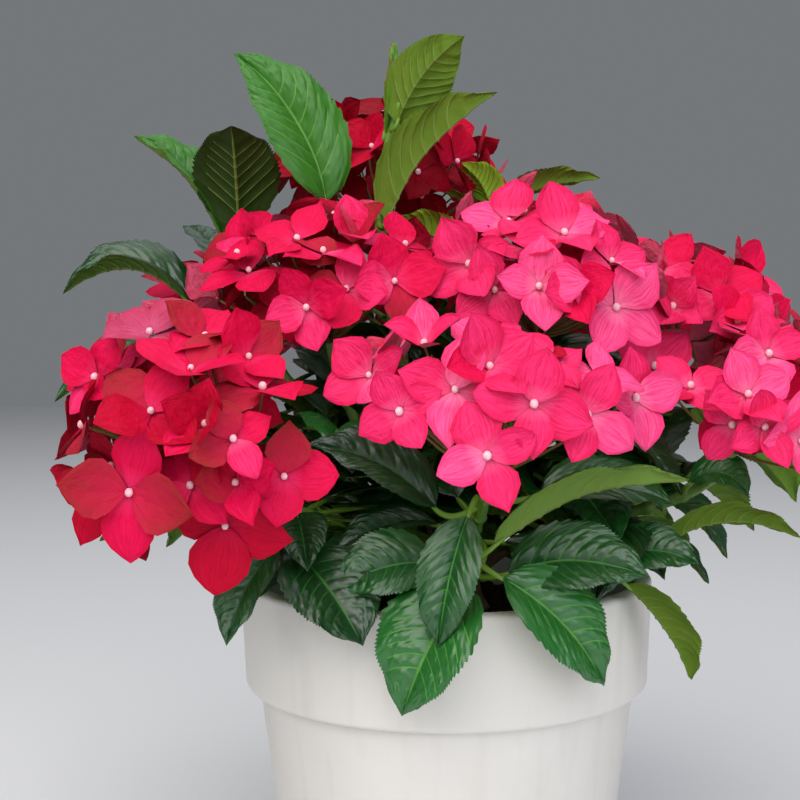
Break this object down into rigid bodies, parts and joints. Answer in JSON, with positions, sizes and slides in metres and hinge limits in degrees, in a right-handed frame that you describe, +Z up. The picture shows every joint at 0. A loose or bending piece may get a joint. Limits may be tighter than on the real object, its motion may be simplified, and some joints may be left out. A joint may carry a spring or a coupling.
{
  "type": "potted hydrangea",
  "caption": "Mophead hydrangea shrub with domed crimson flower heads over toothed green leaves, in a round tapered clay pot with a deep rim band.",
  "frame": {"origin": "centre of the pot's flat underside", "axes": "+Z up; -Y towards the side that the plant shows best, +X to the right as seen from there"},
  "size_m": [0.3881, 0.3601, 0.441],
  "materials": {
    "fired_clay": "matt, smooth fired clay with a pale slip",
    "potting_soil": "crumbly, moist",
    "bark": "dry, thinly flaking",
    "green_cane": "smooth, fresh green",
    "leaf": "satin upper side, paler matt underside",
    "sepal": "soft, finely veined"
  },
  "bodies": {
    "root": {"pot": "fired_clay", "soil": "potting_soil", "crown": "bark", "cane_left_front": "green_cane", "cane_middle_left": "green_cane", "cane_top_back": "green_cane", "cane_upper_right": "green_cane", "cane_right": "green_cane", "cane_right_front": "green_cane", "cane_front": "green_cane", "cane_back_left": "green_cane", "cane_back_right": "green_cane", "cane_back": "green_cane", "cane_top_shoot": "green_cane", "cane_left_shoot": "green_cane", "cane_middle_shoot": "green_cane", "foliage_left_front": "leaf", "foliage_middle_left": "leaf", "foliage_top_back": "leaf", "foliage_upper_right": "leaf", "foliage_right": "leaf", "foliage_right_front": "leaf", "foliage_front": "leaf", "foliage_back_left": "leaf", "foliage_back_right": "leaf", "foliage_back": "leaf", "foliage_top_shoot": "leaf", "foliage_left_shoot": "leaf", "foliage_middle_shoot": "leaf", "head_left_front": "sepal", "head_middle_left": "sepal", "head_top_back": "sepal", "head_upper_right": "sepal", "head_right": "sepal", "head_right_front": "sepal", "head_front": "sepal", "head_back_left": "sepal", "head_back_right": "sepal", "head_back": "sepal"}
  },
  "joints": []
}
